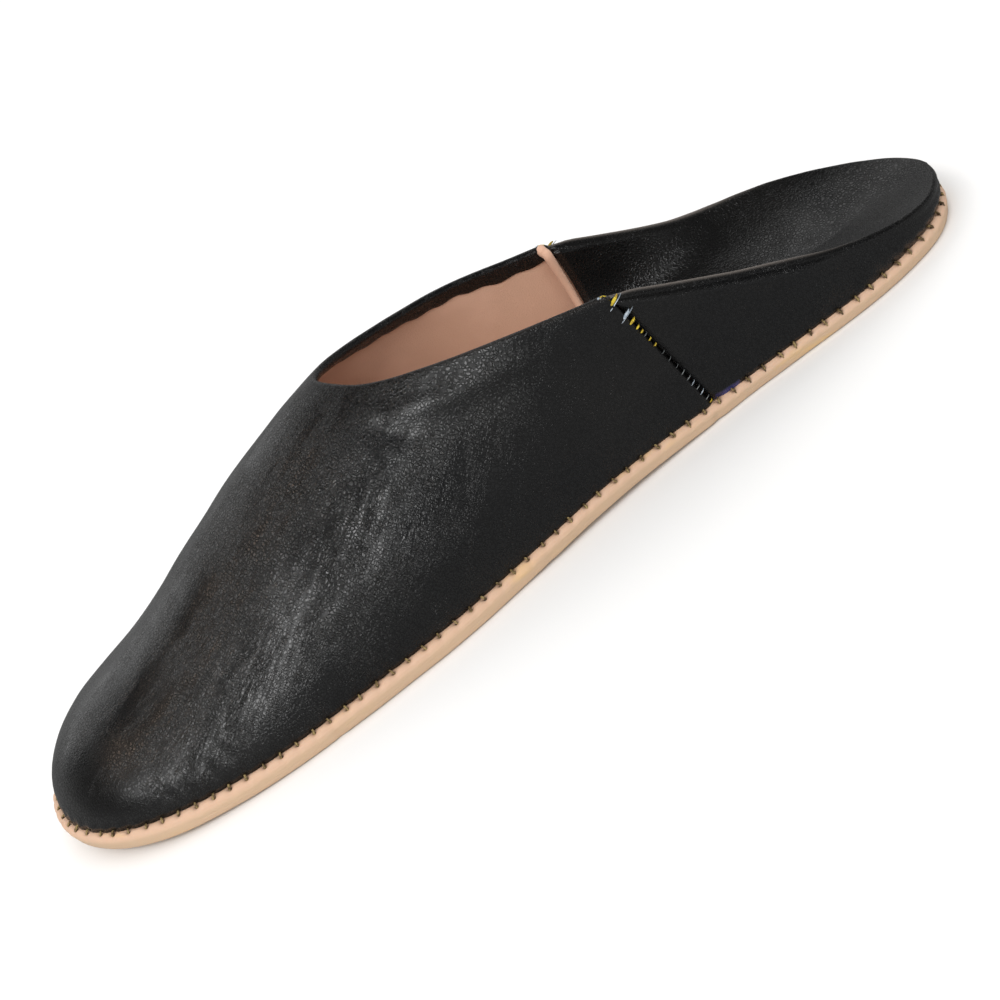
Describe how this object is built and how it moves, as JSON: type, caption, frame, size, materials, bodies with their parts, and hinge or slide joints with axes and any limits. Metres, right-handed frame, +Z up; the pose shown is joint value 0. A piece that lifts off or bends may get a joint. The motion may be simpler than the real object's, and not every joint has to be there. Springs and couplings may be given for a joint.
{
  "type": "babouche slipper",
  "caption": "Flat backless leather slipper: rounded hollow vamp with an open throat, heel quarter folded down over the seat, thin hand-stitched leather sole.",
  "frame": {"origin": "on the floor, below the middle of the shoe's box", "axes": "+Y towards the toe, +X towards the outer side of the foot, +Z up"},
  "size_m": [0.095, 0.2754, 0.0582],
  "materials": {
    "sole_leather": "natural undyed, cut edge",
    "lining_leather": "natural undyed, matte",
    "upper_leather": "black fine grain, semi-gloss"
  },
  "bodies": {
    "root": {"outsole": "sole_leather", "insole": "lining_leather", "upper": "upper_leather"}
  },
  "joints": []
}
